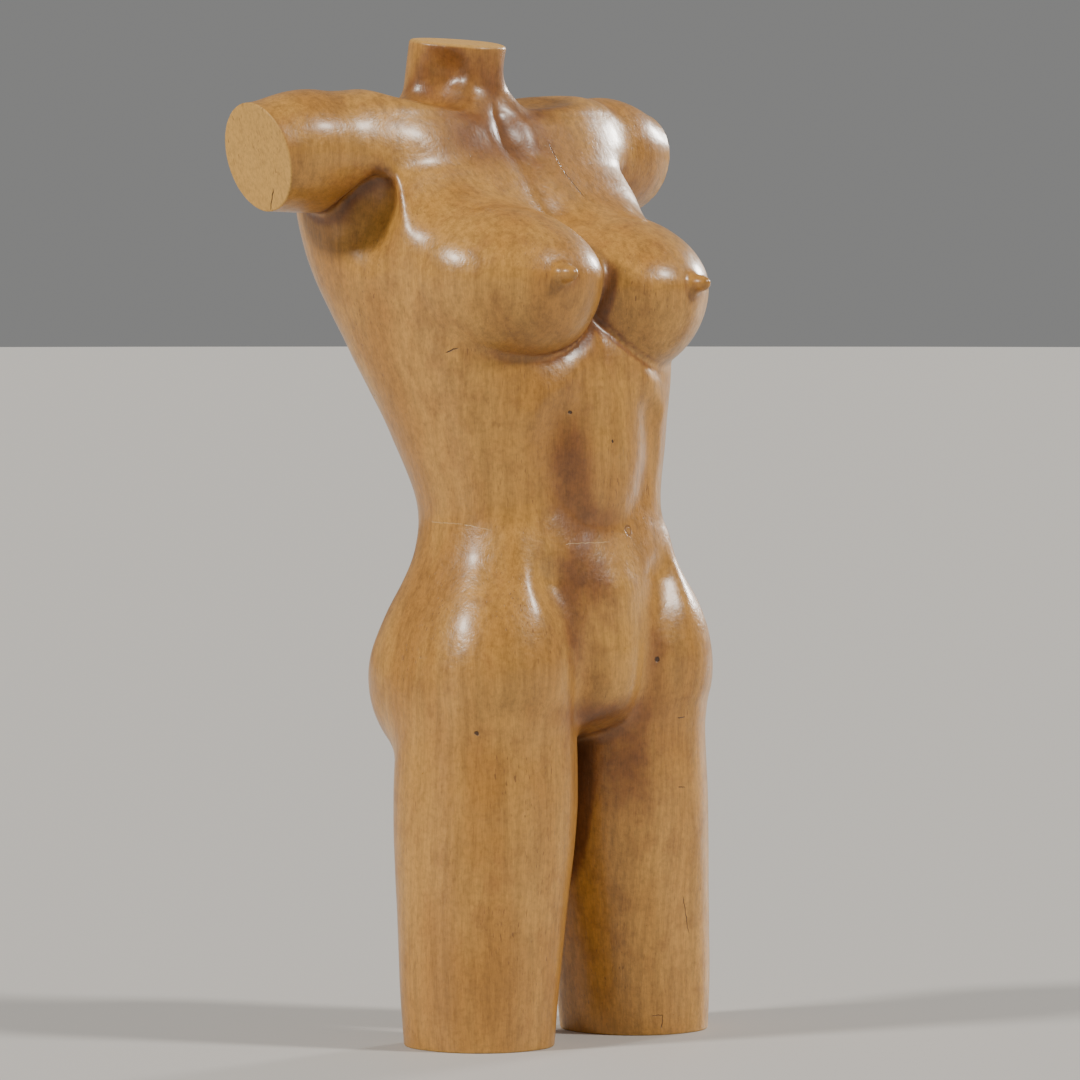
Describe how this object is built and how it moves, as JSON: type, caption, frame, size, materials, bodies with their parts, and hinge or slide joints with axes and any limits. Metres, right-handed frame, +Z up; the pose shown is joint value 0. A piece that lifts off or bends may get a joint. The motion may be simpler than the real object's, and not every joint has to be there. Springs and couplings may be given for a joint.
{
  "type": "torso sculpture",
  "caption": "Carved wooden torso of a standing woman, without head, cut flat at the neck, upper arms and thighs; a figure that stands on its thigh ends.",
  "frame": {"origin": "under the middle of the bounding box, on the plane that both thigh ends stand on", "axes": "+Z up along the body, the figure faces -Y and its own right side is -X"},
  "size_m": [0.2762, 0.1874, 0.5015],
  "materials": {
    "carved_wood": "satin clear varnish over honey-tan wood, with fine upright grain, dark flecks, darker hollows and paler end grain on the cuts"
  },
  "bodies": {
    "root": {"torso": "carved_wood"}
  },
  "joints": []
}
